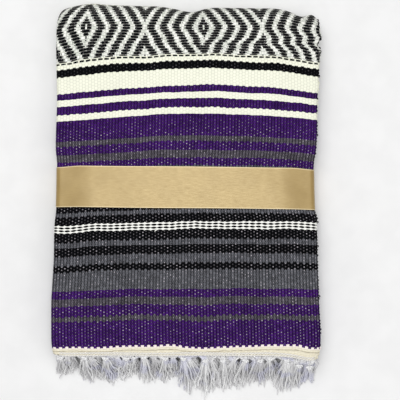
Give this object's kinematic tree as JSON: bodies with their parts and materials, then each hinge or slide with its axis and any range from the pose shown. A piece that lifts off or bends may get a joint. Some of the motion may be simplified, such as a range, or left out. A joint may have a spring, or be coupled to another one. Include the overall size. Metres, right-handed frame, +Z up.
{
  "type": "folded mexican serape with a paper belly band",
  "caption": "Striped cotton serape blanket folded flat into a thick rectangle, fringed at its open end and held by a plain paper band; lies flat on a shelf, bed or table.",
  "frame": {"origin": "under the middle of the whole folded outline, fringe included, on the surface it lies on", "axes": "+X across the folded web to the right seen from above, +Y from the fringed end to the top fold, +Z up out of the front face"},
  "size_m": [0.324, 0.4738, 0.044],
  "materials": {
    "serape_cloth": "coarse weft-faced plain weave, matt, striped purple, grey, black and cream",
    "fringe_yarn": "soft knotted yarn, matt",
    "kraft_paper": "plain brown kraft paper, faint satin"
  },
  "bodies": {
    "root": {"outer_stretch": "serape_cloth", "folded_layers": "serape_cloth", "fringe_upper": "fringe_yarn", "fringe_lower": "fringe_yarn", "belly_band": "kraft_paper"}
  },
  "joints": []
}
